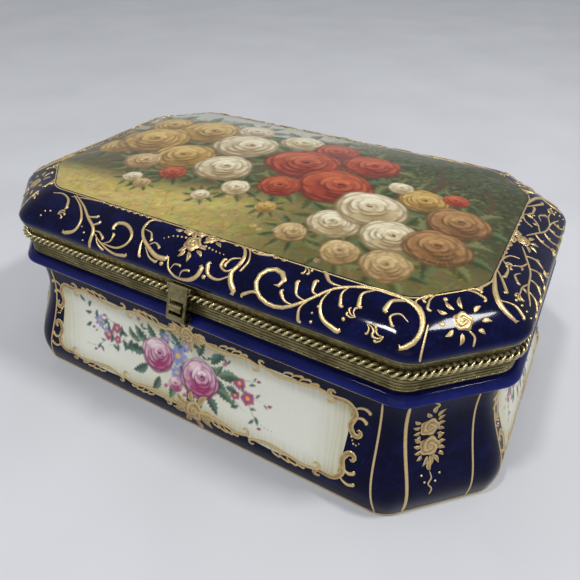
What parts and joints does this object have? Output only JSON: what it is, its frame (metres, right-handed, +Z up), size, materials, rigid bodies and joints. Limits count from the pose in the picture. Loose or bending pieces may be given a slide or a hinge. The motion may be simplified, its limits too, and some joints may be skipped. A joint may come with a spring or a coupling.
{
  "type": "porcelain trinket box",
  "caption": "Octagonal glazed porcelain trinket box with a low domed lid, ribbed and roped brass mounts, a rear hinge and a front clasp.",
  "frame": {"origin": "centre of the underside of the foot, on the surface the box stands on", "axes": "+X along the box, the clasp faces -Y, +Z up"},
  "size_m": [0.2536, 0.1656, 0.0938],
  "materials": {
    "porcelain": "glossy cobalt glaze with gilding and painted white reserves",
    "gilt_brass": "worn antique gilding",
    "cement": "matte plaster"
  },
  "bodies": {
    "base": {"base_bowl": "porcelain", "base_mount": "gilt_brass", "base_cement": "cement", "catch_loop": "gilt_brass", "hinge_base_leaf": "gilt_brass", "hinge_pin": "gilt_brass"},
    "lid": {"lid_shell": "porcelain", "lid_mount": "gilt_brass", "lid_cement": "cement", "lid_rope": "gilt_brass", "hinge_lid_leaf": "gilt_brass", "clasp_bracket": "gilt_brass", "clasp_pin": "gilt_brass"},
    "clasp": {"clasp_strap": "gilt_brass"}
  },
  "joints": [
    {"name": "lid_hinge", "type": "hinge", "parent": "base", "child": "lid", "pos_m": [0, 0.0782, 0.06863], "axis": [-1, 0, 0], "range_deg": [0, 105]},
    {"name": "clasp_swing", "type": "hinge", "parent": "lid", "child": "clasp", "pos_m": [0, -0.0769, 0.0739], "axis": [-1, 0, 0], "range_deg": [0, 95]}
  ]
}
